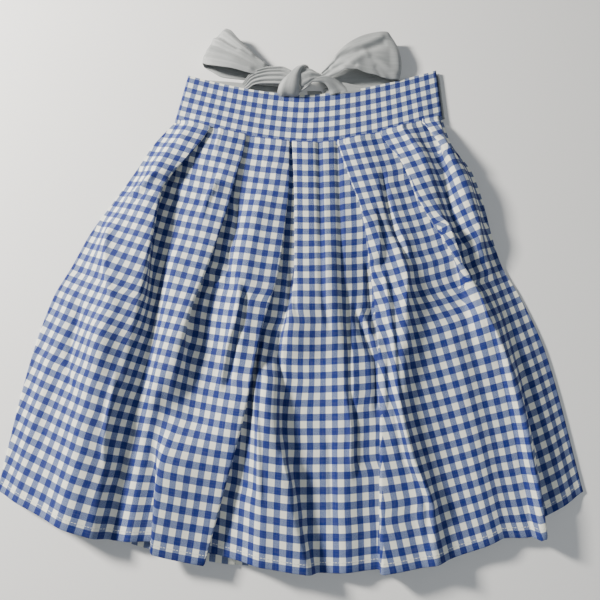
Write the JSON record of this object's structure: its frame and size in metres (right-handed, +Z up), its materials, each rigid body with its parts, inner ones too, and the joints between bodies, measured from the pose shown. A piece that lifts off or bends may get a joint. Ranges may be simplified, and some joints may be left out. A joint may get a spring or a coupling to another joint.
{
  "type": "skirt",
  "caption": "Gathered gingham skirt with a wide waistband and a plain sash tied in a bow, laid flat front side up.",
  "frame": {"origin": "on the flat underside of the skirt's back, in the middle of its width and of the pictured frame", "axes": "+X to the right across the garment, +Y from the hem to the waist, +Z up from the surface it lies on"},
  "size_m": [0.5983, 0.6126, 0.0308],
  "materials": {
    "gingham": "woven blue and white check, matt",
    "sash_grey": "plain light grey cotton, soft sheen"
  },
  "bodies": {
    "root": {"skirt_front": "gingham", "skirt_back": "gingham", "waistband_front": "gingham", "waistband_back": "gingham", "sash_left": "sash_grey", "sash_right": "sash_grey", "sash_tail_left": "sash_grey", "sash_tail_right": "sash_grey", "bow_loop_left": "sash_grey", "bow_loop_right": "sash_grey", "bow_knot": "sash_grey"}
  },
  "joints": []
}
